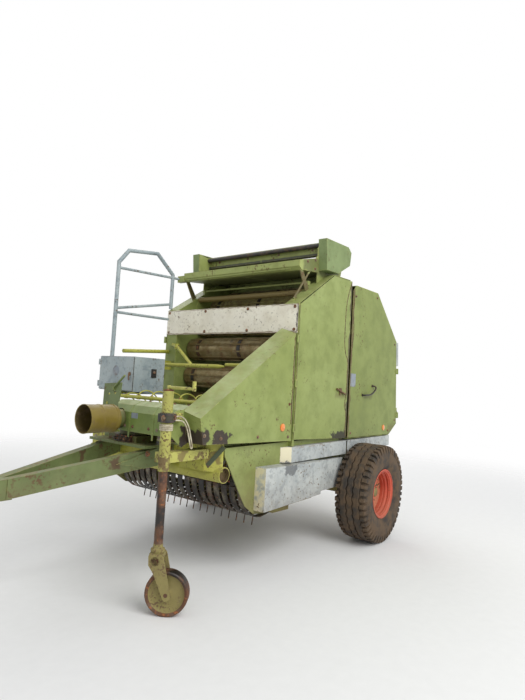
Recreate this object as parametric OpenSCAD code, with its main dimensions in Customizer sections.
// Towed round baler standing on its wheels and its jack.
// X points forward, Y to the machine's left, Z up. Sizes in millimetres.
// Every sub-part is drawn from the axle's centre line and then moved to the middle of the length.

/* [Overall] */
// distance from the axle to the front of the towing eye
front_reach = 3115; // [2800:5:3400]
// distance from the axle to the back of the rear lamps
rear_reach = 985; // [900:5:1100]
// inside half width of the bale chamber
chamber_half_w = 600; // [580:5:620]
// depth of the drive space between the chamber and the side covers' outer faces
side_depth = 140; // [130:5:155]
// thickness of the chamber's side walls
wall_t = 10; // [6:1:14]
// thickness of cover sheet
sheet_t = 4; // [3:1:6]

/* [Wheels] */
// outside diameter of the tyre over its lugs
tyre_d = 845; // [780:5:900]
// width of the tyre
tyre_w = 290; // [240:5:340]
// clearance between the tyre and the side covers
tyre_gap = 20; // [15:1:60]
// diameter of the rim's flange
rim_d = 425; // [400:5:440]
// number of shoulder lugs on each side of a tyre
lugs = 24; // [20:1:30]

/* [Chamber] */
// distance of the chamber's centre ahead of the axle
chamber_x = 120; // [110:1:125]
// height of the chamber's centre
chamber_z = 1445; // [1440:1:1455]
// radius of the ring of roller centres
ring_r = 735; // [720:1:740]
// radius of a roller
roller_r = 105; // [90:1:110]
// radius of the rollers' sprockets to the middle of the chain
sprocket_r = 56; // [50:1:58]
// angle between two rollers
roller_step = 20; // [20:1:20]
// number of ribs along a roller
ribs = 10; // [6:1:12]

/* [Gate] */
// height of the gate's hinge
hinge_z = 2300; // [2250:5:2350]
// distance of the gate's hinge ahead of the axle
hinge_x = 185; // [150:5:220]

/* [Jack] */
// distance of the jack ahead of the axle
jack_x = 2250; // [2150:5:2350]
// distance of the jack from the middle
jack_y = 640; // [560:5:720]
// height of the jack's top
jack_top = 1260; // [1200:5:1320]
// height of the outer tube's lower end
jack_low = 800; // [760:5:860]
// radius of the jack's wheel
jack_wheel_r = 125; // [100:5:150]
// turn of the caster about the jack
caster_turn = 125; // [0:5:360]

/* [Pickup] */
// distance of the reel ahead of the axle
reel_x = 1300; // [1280:5:1320]
// height of the reel
reel_z = 600; // [590:5:610]
// radius over the stripper bands
band_r = 225; // [215:5:230]
// radius over the tines' tips
tine_r = 290; // [270:5:300]
// number of stripper bands
bands = 18; // [14:1:22]

/* [Hidden] */
$fn = 48;
axle_x = (rear_reach - front_reach) / 2;
axle_z = tyre_d / 2;
wall_y = chamber_half_w + wall_t;
cover_half_w = chamber_half_w + side_depth;
sheet_y = cover_half_w - sheet_t;
// outer face of the plates under the covers
plate_y = cover_half_w - 40;
// middle of a tailgate cylinder
cyl_y = (wall_y + cover_half_w) / 2;
// inner and outer face of the pickup's side arms
arm_in = plate_y - 36;
arm_out = plate_y - 28;
// inner face of the net unit's end covers
net_y = cover_half_w - 80;
tyre_mid_y = cover_half_w + tyre_gap + tyre_w / 2;
rim_r = rim_d / 2;
green = [0.58, 0.64, 0.30];
frame_green = [0.72, 0.72, 0.26];
white = [0.83, 0.83, 0.80];
steel = [0.45, 0.36, 0.28];
rubber = [0.10, 0.09, 0.08];
orange = [0.80, 0.28, 0.16];
mustard = [0.75, 0.60, 0.15];

// outlines in the side view, x then z
front_edge = [[1062, 912], [1062, 1965], [536, 2295], [198, 2310]];
gate_edge = [[180, 881], [180, 2225], [128, 2284], [-364, 2295], [-878, 1857], [-952, 983], [-758, 872]];
// the nose cover's front end, the fall of its sloped face towards the front and towards the outside
nose_tip = [2074, 1104];
nose_slope = 32.3;
nose_tilt = 14;
hinge_heights = [1010, 1350, 1690];
end_edge = [[697, 2573], [308, 2591], [250, 2553], [269, 2431], [473, 2319], [672, 2310]];
end_inside = [[691, 2567], [310, 2585], [256, 2549], [275, 2434], [475, 2325], [667, 2316]];

module at_axle() translate([axle_x, 0, 0]) children();
module right() mirror([0, 1, 0]) children();
module both() {
    children();
    right() children();
}
// a side-view outline given thickness from y0 to y1
module xz(points, y0, y1)
    translate([0, y1, 0]) rotate([90, 0, 0]) linear_extrude(y1 - y0) polygon(points);
// a front-view outline given thickness from x0 to x1
module yz(points, x0, x1)
    translate([x0, 0, 0]) rotate([90, 0, 90]) linear_extrude(x1 - x0) polygon(points);
// a plan-view outline given thickness from z0 to z1
module xy(points, z0, z1) translate([0, 0, z0]) linear_extrude(z1 - z0) polygon(points);
// a box by its limits
module box(x, y, z) translate([x[0], y[0], z[0]]) cube([x[1] - x[0], y[1] - y[0], z[1] - z[0]]);
// a round bar across the machine
module across(x, z, r, y0, y1) translate([x, y1, z]) rotate([90, 0, 0]) cylinder(h = y1 - y0, r = r);
// a round bar between two points
module bar(a, b, r) {
    d = b - a;
    l = norm(d);
    translate(a) rotate([0, acos(d[2] / l), atan2(d[1], d[0])]) cylinder(h = l, r = r);
}
// round tube through a row of points: each length runs a little past its bends, and every other one
// is a touch thicker, so that the lengths cross cleanly
module bent_tube(points, r) {
    last = len(points) - 2;
    for (i = [0 : last]) {
        a = points[i];
        b = points[i + 1];
        along = (b - a) * (0.3 * r / norm(b - a));
        bar(i == 0 ? a : a - along, i == last ? b : b + along, i % 2 == 0 ? r : r * 1.03);
    }
}
function ring(a) = [chamber_x + ring_r * cos(a), chamber_z + ring_r * sin(a)];

// hinge of an opening cover: two ears and a pin on the frame, a sleeve and a leaf on the cover
module cover_hinge_fixed(z) {
    for (dz = [-30, 22]) translate([0, 0, z + dz]) {
        translate([1070, cover_half_w + 5, 0]) cylinder(h = 8, r = 9);
        box([1056, 1070], [cover_half_w - 15, cover_half_w + 12], [0, 8]);
    }
    translate([1070, cover_half_w + 5, z - 30]) cylinder(h = 60, r = 5);
}
module cover_hinge_moving(z) difference() {
    union() {
        translate([1070, cover_half_w + 5, z - 21]) cylinder(h = 42, r = 9);
        box([1030, 1070], [cover_half_w, cover_half_w + 6], [z - 21, z + 21]);
    }
    translate([1070, cover_half_w + 5, z - 30]) cylinder(h = 60, r = 5.05);
}

// one side of the chamber ahead of the gate, with the rim that carries the covers
module side_frame() {
    wall = concat([[50, 600], [520, 600], [700, 650], [930, 790], [1036, 850]], front_edge, [[198, 850], [50, 850]]);
    difference() {
        union() {
            xz(wall, chamber_half_w, wall_y);
            // rim that the covers close against
            xz([[1062, 912], [1062, 1965], [536, 2295], [232, 2308.5], [232, 2304.5], [535, 2291],
                [1058, 1963], [1058, 912]], chamber_half_w, sheet_y - 1);
            box([1036, 1062], [plate_y - 10, sheet_y - 1], [870, 1965]);
            // sill and the plate beside the pickup
            box([198, 1786], [wall_y - 4, plate_y], [862, 904]);
            xz([[1790, 900], [1783, 851], [1646, 642], [1545, 496], [1448, 430], [1335, 418], [680, 430], [600, 560],
                [600, 890]], plate_y - 8, plate_y);
            xz([[1640, 904], [1786, 904], [1786, 797], [1780, 800]], plate_y - 40, plate_y - 30);
            box([600, 640], [wall_y - 4, plate_y - 8], [560, 862]);
            // legs down to the axle beam
            box([-50, 50], [wall_y + 2, plate_y], [axle_z + 50, 640]);
            box([-50, 290], [wall_y + 2, plate_y], [600, 640]);
            xz([[60, 610], [290, 610], [290, 830], [60, 830]], wall_y - 2, wall_y + 6);
            // ear of the gate's hinge
            across(hinge_x, hinge_z, 30, wall_y + 2, wall_y + 14);
            translate([hinge_x, 0, hinge_z]) {
                xz([[0, -30], [75, -60], [75, 0], [0, 30]], wall_y + 2, wall_y + 14);
                xz([[15, -70], [75, -100], [75, 0], [15, 6]], wall_y - 1, wall_y + 14);
            }
        }
        across(1785, 732, 52, plate_y - 60, plate_y + 10);
    }
    across(hinge_x, hinge_z, 14, wall_y + 2, wall_y + 34);
    across(350, 1050, 12, wall_y - 1, cyl_y + 27);
    across(740, 800, 10, arm_in - 9, plate_y - 7);
    for (z = hinge_heights) cover_hinge_fixed(z);
}
module side_frame_left() color(green) at_axle() side_frame();
module side_frame_right() color(green) right() at_axle() {
    side_frame();
    // round bearing plate inside the chamber's right wall
    difference() {
        across(665, 2010, 165, chamber_half_w - 5, chamber_half_w + 1);
        for (a = [34, 54]) across(ring(a)[0], ring(a)[1], 28.5, chamber_half_w - 6, chamber_half_w);
        across(790, 2106, 25.5, chamber_half_w - 6, chamber_half_w);
    }
}

module cross_members() color(frame_green) at_axle() {
    difference() {
        across(1785, 732, 51.7, -plate_y - 5, plate_y + 5);
        across(1785, 732, 46, plate_y - 30, plate_y + 10);
        across(1785, 732, 46, -plate_y - 10, 30 - plate_y);
    }
    // plates that carry the drawbar and the jack
    box([1800, 1873], [-600, 600], [782, 890]);
    both() {
        box([1861, 1873], [380, 600], [752, 960]);
        box([1861, 1873], [380, 510], [955, 1090]);
        xy([[1873, 595], [1873, 602], [1801, plate_y - 9], [1789, plate_y - 9], [1861, 600], [1861, 595]], 752, 936);
        bar([1803, plate_y + 6, 915], [1852, 606, 775], 8);
    }
    across(790, 2106, 25, -chamber_half_w, chamber_half_w);
    // floor between the pickup and the chamber
    xz([[930, 706], [545, 790], [545, 800], [930, 716]], -chamber_half_w, chamber_half_w);
    box([700, 780], [-chamber_half_w, chamber_half_w], [660, 672]);
}

module axle_beam() color(frame_green) at_axle() {
    box([-50, 50], [-plate_y, plate_y], [axle_z - 50, axle_z + 50]);
    both() across(0, axle_z, 35, plate_y - 10, tyre_mid_y);
}

// one leg of the drawbar with the pointed plate on its outer side
module drawbar_leg() translate([1840, 288, 833]) rotate([0, 8.6, -13.9]) {
    translate([0, -30, -55]) cube([1060, 60, 110]);
    xz([[20, -60], [20, 66], [130, 60], [430, 8], [330, -20], [250, -56]], 29, 37);
}
module drawbar() color(frame_green) at_axle() {
    difference() {
        both() drawbar_leg();
        box([1700, 1873], [-500, 500], [600, 1000]);
        box([2855, 3000], [-200, 200], [500, 900]);
    }
    box([2820, 2990], [-62, 62], [616, 730]);
    box([1873, 2110], [-300, 300], [872, 890]);
}

module towing_eye() color(steel) at_axle() {
    difference() {
        union() {
            translate([3060, 0, 652]) cylinder(h = 36, r = 55);
            box([2990, 3030], [-30, 30], [652, 688]);
        }
        translate([3060, 0, 640]) cylinder(h = 80, r = 20);
    }
}

module front_board() color(white) at_axle() box([1062, 1072], [15 - cover_half_w, cover_half_w - 5], [1738, 1962]);

// everything above the nose cover's sloped face
module above_nose(drop) translate([nose_tip[0], cover_half_w, nose_tip[1] - drop]) rotate([0, nose_slope, 0])
    rotate([-nose_tilt, 0, 0]) translate([-1600, -400, 0]) cube([2000, 800, 400]);
module nose_cover() color(green) at_axle() {
    difference() {
        xz([[1084, 916], [2040, 945], [2084, 1150], [2084, 1200], [1100, 1800], [1084, 1800]],
           chamber_half_w, cover_half_w);
        above_nose(0);
        difference() {
            xz([[1060, 880], [2036, 880], [2036, 949], [2080, 1154], [2080, 1200], [1100, 1800], [1060, 1800]],
               chamber_half_w + sheet_t, sheet_y);
            above_nose(sheet_t / cos(nose_slope));
        }
    }
    // pointed plate ahead of the inner wall, where the jack is clamped
    xz([[2030, 945], [2090, 917], [2185, 1000], [2195, 1110], [2128, 1146], [2070, 1146]],
       chamber_half_w, chamber_half_w + sheet_t);
    box([1100, 1820], [chamber_half_w + 8, chamber_half_w + 40], [904, 920]);
    box([1100, 1820], [chamber_half_w, chamber_half_w + 12], [905, 960]);
}

module net_unit() color(frame_green) at_axle() {
    // tray for the net, open to the front
    xz([[970, 2337], [970, 2288], [935, 2262], [430, 2320], [300, 2415], [304, 2419], [432, 2324], [934, 2266],
        [966, 2290], [966, 2337]], 10 - net_y, net_y);
    both() {
        xz([[300, 2306], [536, 2295.5], [690, 2199], [690, 2500], [640, 2562], [310, 2582], [262, 2545], [262, 2440]],
           net_y - 10, net_y);
        xz([[945, 2268], [900, 2268], [800, 2130], [845, 2102]], net_y - 20, net_y - 10);
        box([700, 740], [chamber_half_w - 12, chamber_half_w], [2180, 2215]);
    }
    right() xz([[684, 2320], [772, 2320], [776, 2568], [640, 2556], [684, 2480]], net_y - 10, net_y);
    box([575, 625], [5 - net_y, net_y - 5], [2455, 2525]);
    xz([[305, 2574], [640, 2556], [640, 2560], [305, 2578]], 5 - net_y, net_y - 5);
    across(720, 2205, 9, -chamber_half_w + 5, chamber_half_w - 5);
    across(952, 2277, 10, 10 - net_y, net_y - 100);
    box([930, 972], [-net_y - 74, 11 - net_y], [2255, 2315]);
    // brace down to the rim and its foot
    bar([1003, net_y - 18, 2014], [670, net_y - 12, 2440], 9);
    xz([[975, 2020.4], [1030, 1985.9], [1030, 1996], [975, 2030]], net_y - 34, net_y - 6);
}

// an end cover whose front end stands a distance further forward
module net_end_cover(ahead) difference() {
    forward = [for (i = [0 : 5]) i == 0 || i == 5 ? [ahead, 0] : [0, 0]];
    xz(end_edge + forward, net_y, cover_half_w);
    xz(end_inside + forward, net_y - 1, sheet_y);
}
module net_end_covers() color(green) at_axle() {
    net_end_cover(0);
    right() net_end_cover(85);
}

module roller(a) {
    p = ring(a);
    across(p[0], p[1], roller_r - 7, 10 - chamber_half_w, chamber_half_w - 10);
    across(p[0], p[1], 28, -chamber_half_w, chamber_half_w);
    translate([p[0], 0, p[1]]) for (i = [0 : ribs - 1])
        rotate([0, 360 * i / ribs + a, 0]) box([roller_r - 12, roller_r], [22 - chamber_half_w, chamber_half_w - 22], [-7, 7]);
}
module front_rollers() color(steel) at_axle() {
    for (a = [274, 294, 334, 354, 14, 34, 54, 74]) roller(a);
}
module gate_rollers() color(steel) at_axle() {
    for (a = [94 : roller_step : 254]) roller(a);
}

// sprockets on the rollers' left ends and the chain round them, for the rollers from one angle to another
module chain_drive(first, last) {
    angles = [for (a = [first : roller_step : last]) a];
    function way(r) = concat(
        [for (a = angles) [chamber_x, chamber_z] + (ring_r + r) * [cos(a), sin(a)]],
        [for (t = [30 : 30 : 150]) ring(last) + r * [cos(last + t), sin(last + t)]],
        [for (i = [len(angles) - 1 : -1 : 0]) [chamber_x, chamber_z] + (ring_r - r) * [cos(angles[i]), sin(angles[i])]],
        [for (t = [210 : 30 : 330]) ring(first) + r * [cos(first + t), sin(first + t)]]);
    difference() {
        xz(way(sprocket_r + 6), wall_y + 8, wall_y + 24);
        xz(way(sprocket_r - 6), wall_y + 7, wall_y + 25);
    }
    for (a = [first : roller_step : last]) translate([ring(a)[0], wall_y, ring(a)[1]]) rotate([-90, 0, 0]) {
        translate([0, 0, 12]) cylinder(h = 8, r = sprocket_r + 1, $fn = 12);
        cylinder(h = 26, r = 28, $fn = 12);
    }
}
module front_chain() color(steel) at_axle() chain_drive(334, 434);
module gate_chain() color(steel) at_axle() chain_drive(154, 214);

// hose that runs down the seam between the side covers
module seam_hose() color(rubber) at_axle() bent_tube([[330, wall_y + 6, 2230], [215, plate_y - 12, 2215],
    [193, cover_half_w - 16, 2120], [193, cover_half_w - 16, 1580], [250, plate_y - 10, 1490], [380, wall_y + 6.2, 1440]], 7);

module gearbox() color(steel) at_axle() {
    translate([1950, 0, 930]) cylinder(h = 150, r = 105);
    box([1880, 2060], [-150, 150], [890, 932]);
    translate([1950, 0, 1045]) rotate([0, 90, 0]) cylinder(h = 190, r = 62);
    across(1985, 1045, 42, 60, chamber_half_w);
}

// side view and plan of the rounded cover over the cross drive, drawn smaller by a margin
module hood_shape(m) intersection() {
    xz([[2090 - m, 965 - m * 5], [2090 - m, 1095], [2060 - m / 2, 1140 - m], [2000, 1165 - m], [1920, 1165 - m],
        [1850 + m / 2, 1130 - m], [1830 + m, 1060], [1830 + m, 965 - m * 5]], -200, chamber_half_w + m);
    translate([0, 0, 900]) linear_extrude(300) {
        translate([1940, 20]) circle(150 - m);
        translate([1800, 20]) square([300, 600]);
        translate([1830 + m, -50]) square([110, 100]);
    }
}
module gearbox_hood() color(green) at_axle() difference() {
    hood_shape(0);
    hood_shape(4);
    translate([1950, 0, 1045]) rotate([0, 90, 0]) cylinder(h = 200, r = 68);
    across(1985, 1045, 46, 300, chamber_half_w + 10);
}

module pto_guard() color(mustard) at_axle() {
    translate([2140, 0, 1045]) rotate([0, 90, 0]) difference() {
        cylinder(h = 234, r = 95);
        translate([0, 0, 6]) cylinder(h = 234, r = 90);
        translate([0, 0, -1]) cylinder(h = 20, r = 40);
    }
}

module pto_shaft() color(steel) at_axle() {
    translate([2140.3, 0, 1045]) rotate([0, 90, 0]) cylinder(h = 150, r = 17.4);
}

module twine_box() color(white) at_axle() {
    difference() {
        box([1380, 1696], [-820, -380], [1210, 1490]);
        box([1384, 1700], [-816, -384], [1214, 1486]);
    }
    box([1062, 1690], [5 - cover_half_w, -640], [1180, 1210]);
    for (z = [1260, 1440]) {
        for (dz = [-24, 18]) translate([1704, -829, z + dz]) cylinder(h = 6, r = 8);
        for (dz = [-24, 18]) box([1680, 1704], [-834, -818], [z + dz, z + dz + 6]);
        translate([1704, -829, z - 24]) cylinder(h = 48, r = 4);
    }
}

module twine_box_door() color(white) at_axle() {
    box([1702, 1706], [-816, -382], [1216, 1486]);
    for (z = [1260, 1440]) difference() {
        union() {
            translate([1704, -829, z - 17]) cylinder(h = 34, r = 8);
            box([1702, 1708], [-829, -800], [z - 17, z + 17]);
        }
        translate([1704, -829, z - 24]) cylinder(h = 48, r = 4.05);
    }
}

module guard_rail() color(white) at_axle() {
    y = -plate_y - 20;
    bent_tube([[1665, y, 1490], [1665, y, 2300], [1570, y, 2420], [1250, y, 2468], [1049, y, 2310],
               [1049, y, 1985]], 17);
    bar([1665, y, 1902], [1049, y, 2030], 12);
    bar([1665, y, 1868], [1072.4, y, 1884], 12);
    bar([1665, y, 2250], [973.4, y, 2288], 12);
}

module windguard() color(frame_green) at_axle() {
    across(1750, 1175, 14, -chamber_half_w - 18, chamber_half_w);
    box([1736, 1764], [-chamber_half_w - 18, -chamber_half_w - 6], [904, 1189]);
    for (i = [0 : 7])
        translate([0, -535 + 150 * i, 0])
            bent_tube([[1750, 0, 1175], [1715, 0, 1201], [1640, 0, 1196], [1380, 0, 900]], 5);
}

module hose_bracket() color(frame_green) at_axle() {
    difference() {
        yz([[-285, 890], [-285, 990], [-335, 1110], [-330, 1270], [-130, 1285], [-150, 1110], [-175, 990], [-175, 890]],
           1990, 1996);
        for (p = [[-270, 1200], [-200, 1210], [-290, 1130], [-220, 1100]])
            translate([1980, p[0], p[1]]) rotate([0, 90, 0]) cylinder(h = 30, r = 12);
    }
    bar([2002, -215, 1240], [2002, -95, 1335], 8);
    box([1994, 2010], [-235, -205], [1225, 1255]);
}

module tying_bar() color(frame_green) at_axle() {
    across(1250, 1450, 17, -664, 110);
    translate([1250, 110, 1450]) rotate([-90, 0, 0]) cylinder(h = 70, r1 = 17, r2 = 7);
    box([1062, 1275], [-664, -650], [1410, 1490]);
    difference() {
        union() {
            bar([1062, -640, 1645], [1190, -450, 1618], 16);
            bar([1062, -plate_y, 1580], [1570, -plate_y, 1545], 17);
        }
        box([1000, 1062], [-cover_half_w, 0], [1500, 1700]);
    }
    bar([1190, -450, 1618], [1250, -190, 1450], 14);
    translate([1190, -450, 1595]) cylinder(h = 46, r = 20);
    across(1250, 1466, 13, 190, chamber_half_w);
}

module jack_sleeve() color(frame_green) at_axle() {
    difference() {
        union() {
            translate([jack_x, jack_y, jack_low]) cylinder(h = jack_top - jack_low, r = 32);
            translate([jack_x, jack_y, 1078]) cylinder(h = 56, r = 40);
            box([2120, jack_x], [chamber_half_w + sheet_t, jack_y - 8], [1080, 1130]);
            box([1873, jack_x], [jack_y - 80, jack_y], [840, 900]);
        }
        translate([jack_x, jack_y, jack_low - 1]) cylinder(h = jack_top - jack_low - 8, r = 26.3);
    }
    translate([jack_x, jack_y, jack_top - 4]) cylinder(h = 38, r = 11);
    across(jack_x, jack_top + 22, 9, jack_y, jack_y + 212);
    translate([jack_x, jack_y + 206, jack_top + 10]) cylinder(h = 55, r = 11);
}

module jack_leg() color(steel) at_axle() translate([jack_x, jack_y, 0]) {
    translate([0, 0, 330]) cylinder(h = 580, r = 26);
    rotate([0, 0, caster_turn]) {
        difference() {
            xz([[-40, 345], [40, 345], [100, 110], [60, 90], [-40, 280]], -50, 50);
            xz([[-140, 320], [140, 320], [140, 60], [-140, 60]], -42, 42);
        }
        across(70, jack_wheel_r, 12, -44, 44);
    }
}

module jack_wheel() color(frame_green) at_axle() translate([jack_x, jack_y, 0]) rotate([0, 0, caster_turn])
    difference() {
        across(70, jack_wheel_r, jack_wheel_r, -35, 35);
        across(70, jack_wheel_r, 12.1, -40, 40);
    }

module pickup_frame() color(frame_green) at_axle() {
    both() difference() {
        xz([[705, 775], [715, 830], [765, 835], [1100, 745], [1400, 690], [1430, 560], [1330, 440], [1180, 385],
            [970, 380], [960, 640]], arm_in, arm_out);
        across(reel_x, reel_z, 20.1, arm_in - 4, arm_out + 8);
        across(740, 800, 10.05, arm_in - 4, arm_out + 8);
    }
    box([reel_x - 315, reel_x - 275], [-arm_in, arm_in], [reel_z + 125, reel_z + 161]);
    box([reel_x - 315, reel_x - 280], [-arm_in, arm_in], [reel_z - 207, reel_z - 171]);
}

// side view of one stripper band, round the front with a tail at the top and the bottom
band_front = [for (a = [-104 : 14 : 92]) [cos(a), sin(a)]];
band_line = concat([[-280, -175]], [for (p = band_front) p * band_r], [[-280, 165]]);
band_back = concat([[-280, 161]], [for (i = [len(band_front) - 1 : -1 : 0]) band_front[i] * (band_r - 4)],
                   [[-280, -171]]);
// width of a band, the outer edge of the last one and the distance from one to the next
band_w = 50;
band_end = arm_in - 9;
band_pitch = (2 * band_end - band_w) / (bands - 1);
module pickup_bands() color(steel) at_axle() {
    for (i = [0 : bands - 1])
        translate([reel_x, i * band_pitch - band_end, reel_z]) xz(concat(band_line, band_back), 0, band_w);
}

module pickup_reel() color(steel) at_axle() translate([reel_x, 0, reel_z]) {
    first = (band_w + band_pitch) / 2 - band_end;
    across(0, 0, 20, -arm_in - 4, arm_in + 4);
    for (a = [0 : 90 : 270]) rotate([0, a, 0]) {
        across(160, 0, 12, 16 - arm_in, arm_in - 16);
        for (i = [0 : bands - 2])
            bar([160, first + i * band_pitch, 0], [tine_r, first + i * band_pitch, 20], 4);
    }
    both() across(0, 0, 177, arm_in - 20, arm_in - 12);
}

module lower_guards() color(white) at_axle() both() {
    xz([[1450, 456], [1450, 752], [690, 738], [690, 475]], plate_y, cover_half_w + 50);
    xz([[690, 478], [690, 730], [250, 724], [250, 482]], plate_y, cover_half_w);
}
module upper_guards() color(white) at_axle() both()
    xy([[200, plate_y], [1160, plate_y], [1055, cover_half_w + 5], [200, cover_half_w + 5]], 752, 868);

// many-sided outline, quicker to draw than a true circle
function outline(r, n = 30) = [for (i = [0 : n - 1]) r * [cos(360 * i / n), sin(360 * i / n)]];
// steps of the tyre's body, how far below the tread and how far inside the full width
tyre_steps = [[70, 0], [18, 18]];
// raised rows round the tread, from and to this share of the half width
tread_rows = [[-0.60, -0.24], [-0.16, 0.16], [0.24, 0.60]];
// a shoulder lug seen from the front: how far below the tread, then its share of the half width
lug_side = [[30, 0.66], [2, 0.66], [6, 0.92], [64, 1], [64, 0.8]];
lug_w = 34;
module tyre() translate([0, tyre_mid_y, axle_z]) {
    half_w = tyre_w / 2;
    difference() {
        union() {
            for (s = tyre_steps) xz(outline(tyre_d / 2 - s[0]), s[1] - half_w, half_w - s[1]);
            for (t = tread_rows) xz(outline(tyre_d / 2), t[0] * half_w, t[1] * half_w);
        }
        xz(outline(rim_r - 18.2), -tyre_w, tyre_w);
        for (y = [-tyre_w, half_w - 36]) xz(outline(rim_r + 26), y, y + half_w + 36);
    }
    for (i = [0 : lugs - 1], side = [0, 1])
        rotate([0, 360 * (i + side / 2) / lugs, 0]) mirror([0, side, 0])
            xy([for (p = lug_side) [tyre_d / 2 - p[0], p[1] * half_w]], -lug_w / 2, lug_w / 2);
}
module tyre_left() color(rubber) at_axle() tyre();
module tyre_right() color(rubber) right() at_axle() tyre();
module rim() translate([0, tyre_mid_y, axle_z]) rotate([90, 0, 0]) {
    w = tyre_w / 2 - 35;
    rotate_extrude($fn = 72) polygon([[rim_r - 32, -w - 14], [rim_r, -w - 14], [rim_r, -w - 10.4],
        [rim_r - 20, -w - 0.4], [rim_r - 20, w + 0.4], [rim_r, w + 10.4], [rim_r, w + 14], [rim_r - 32, w + 14]]);
    difference() {
        translate([0, 0, -20]) cylinder(h = 12, r = rim_r - 26);
        translate([0, 0, -30]) cylinder(h = 40, r = 35.1);
    }
    difference() {
        translate([0, 0, -60]) cylinder(h = 110, r = 60);
        translate([0, 0, -40]) cylinder(h = 120, r = 35.1);
    }
}
module rim_left() color(orange) at_axle() rim();
module rim_right() color(orange) right() at_axle() rim();

module gate_side() {
    lower = [[180, 890], [180, 862], [42, 862], [42, 620], [-200, 620], [-480, 700], [-758, 872], [-758, 900]];
    xz(gate_edge, chamber_half_w, wall_y);
    xz(lower, chamber_half_w, wall_y);
    difference() {
        xz(gate_edge, wall_y - 2, sheet_y - 1);
        xz([[200, 885], [200, 2600], [100, 2600], [100, 2280], [-362, 2291], [-874, 1855], [-948, 985], [-757, 876.5]],
           wall_y - 3, cover_half_w);
    }
    across(-350, 1950, 26, wall_y - 1, cyl_y - 26);
    box([-960, -938], [plate_y - 50, sheet_y - 1], [1055, 1150]);
    gate_hinges() {
        for (z = [-30, 22]) {
            translate([0, 0, z]) cylinder(h = 8, r = 9);
            box([0, 20], [-25, 0], [z, z + 8]);
        }
        translate([0, 0, -30]) cylinder(h = 60, r = 5);
    }
    difference() {
        union() {
            across(hinge_x, hinge_z, 30, wall_y + 19, wall_y + 31);
            translate([hinge_x, 0, hinge_z]) {
                xz([[0, -30], [0, 30], [-125, -60], [-125, -120]], wall_y + 19, wall_y + 31);
                xz([[-65, -70], [-65, -20], [-125, -60], [-125, -120]], wall_y - 1, wall_y + 31);
            }
        }
        across(hinge_x, hinge_z, 14.05, wall_y, wall_y + 40);
    }
}
module gate_side_left() color(green) at_axle() gate_side();
module gate_side_right() color(green) right() at_axle() gate_side();

module gate_strips() color(white) at_axle() both() {
    box([-755, 175], [cover_half_w + 1, cover_half_w + 5], [768, 868]);
    box([-755, 175], [wall_y, cover_half_w + 3], [864, 868]);
    xz([[-900.4, 1600], [-879.2, 1850], [-935, 1850], [-956, 1600]], sheet_y - 22, sheet_y - 2);
}

module gate_bars() color(frame_green) at_axle() {
    box([-925, -865], [-chamber_half_w, chamber_half_w], [1000, 1060]);
    box([-860, -800], [-chamber_half_w, chamber_half_w], [1760, 1820]);
    box([-680, -620], [-chamber_half_w, chamber_half_w], [850, 910]);
}

module front_door() {
    xz([[1054, 922], [1054, 1956], [534, 2286], [206, 2300], [206, 890]], sheet_y, cover_half_w);
    for (z = hinge_heights) cover_hinge_moving(z);
    // catch with a cross bar
    box([330, 365], [cover_half_w - 1, cover_half_w + 8], [1268, 1330]);
    bar([272, cover_half_w + 12, 1278], [424, cover_half_w + 12, 1322], 8);
}
module front_door_left() color(green) at_axle() front_door();
module front_door_right() color(green) right() at_axle() front_door();
module gate_door() {
    xz([[174, 890], [174, 2222], [125, 2278], [-361, 2289], [-871, 1853], [-936, 1000], [-755, 882]], sheet_y, cover_half_w);
    // curved handle
    y = cover_half_w;
    bent_tube([[-80, y - 2, 1355], [-80, y + 28, 1355], [-350, y + 28, 1285], [-350, y - 2, 1285]], 8);
    gate_hinges() difference() {
        union() {
            translate([0, 0, -21]) cylinder(h = 42, r = 9);
            box([0, 50], [-5, 1], [-21, 21]);
        }
        translate([0, 0, -30]) cylinder(h = 60, r = 5.05);
    }
}
module gate_door_left() color(green) at_axle() gate_door();
module gate_door_right() color(green) right() at_axle() gate_door();
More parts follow.
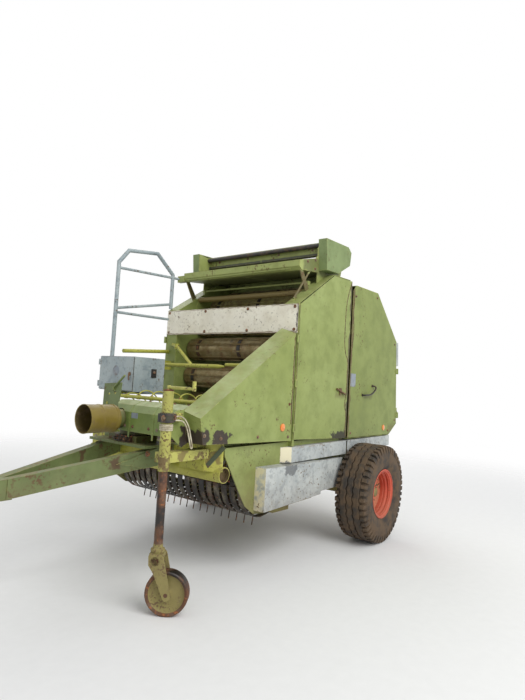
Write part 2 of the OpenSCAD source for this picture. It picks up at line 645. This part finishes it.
// places of the gate covers' hinges along the slanted rear edge
module gate_hinges()
    for (l = [90, 560]) translate([-964, cover_half_w + 5, 983]) rotate([0, atan2(74, 874), 0]) translate([0, 0, l]) children();

// tailgate cylinder along its own line from the barrel's pin
module along_cylinder() translate([350, cyl_y, 1050]) rotate([0, -37.875, 0]) children();
module barrel() along_cylinder() difference() {
    union() {
        translate([0, 0, 30]) cylinder(h = 900, r = 28);
        rotate([90, 0, 0]) translate([0, 0, -20]) cylinder(h = 40, r = 26);
        translate([-15, -20, 0]) cube([30, 40, 60]);
    }
    translate([0, 0, 200]) cylinder(h = 800, r = 14.3);
    rotate([90, 0, 0]) translate([0, 0, -30]) cylinder(h = 60, r = 12.1);
}
module barrel_left() color(steel) at_axle() barrel();
module barrel_right() color(steel) right() at_axle() barrel();
module rod() along_cylinder() difference() {
    union() {
        translate([0, 0, 270]) cylinder(h = 850, r = 14);
        translate([0, 0, 1140]) rotate([90, 0, 0]) translate([0, 0, -20]) cylinder(h = 40, r = 26);
    }
    translate([0, 0, 1140]) rotate([90, 0, 0]) translate([0, 0, -30]) cylinder(h = 60, r = 12.1);
}
module rod_left() color(steel) at_axle() rod();
module rod_right() color(steel) right() at_axle() rod();

module lamps() color(orange) at_axle() {
    both() translate([-960, plate_y - 10, 1102]) rotate([0, -90, 0]) cylinder(h = 25, r = 42);
}

side_frame_left();
side_frame_right();
cross_members();
axle_beam();
drawbar();
towing_eye();
front_board();
nose_cover();
net_unit();
net_end_covers();
front_rollers();
gearbox();
gearbox_hood();
pto_guard();
pto_shaft();
twine_box();
twine_box_door();
guard_rail();
windguard();
hose_bracket();
tying_bar();
jack_sleeve();
jack_leg();
jack_wheel();
pickup_frame();
pickup_bands();
pickup_reel();
lower_guards();
upper_guards();
tyre_left();
rim_left();
tyre_right();
rim_right();
gate_side_left();
gate_side_right();
gate_strips();
gate_bars();
gate_rollers();
front_chain();
gate_chain();
seam_hose();
front_door_left();
front_door_right();
gate_door_left();
gate_door_right();
barrel_left();
barrel_right();
rod_left();
rod_right();
lamps();
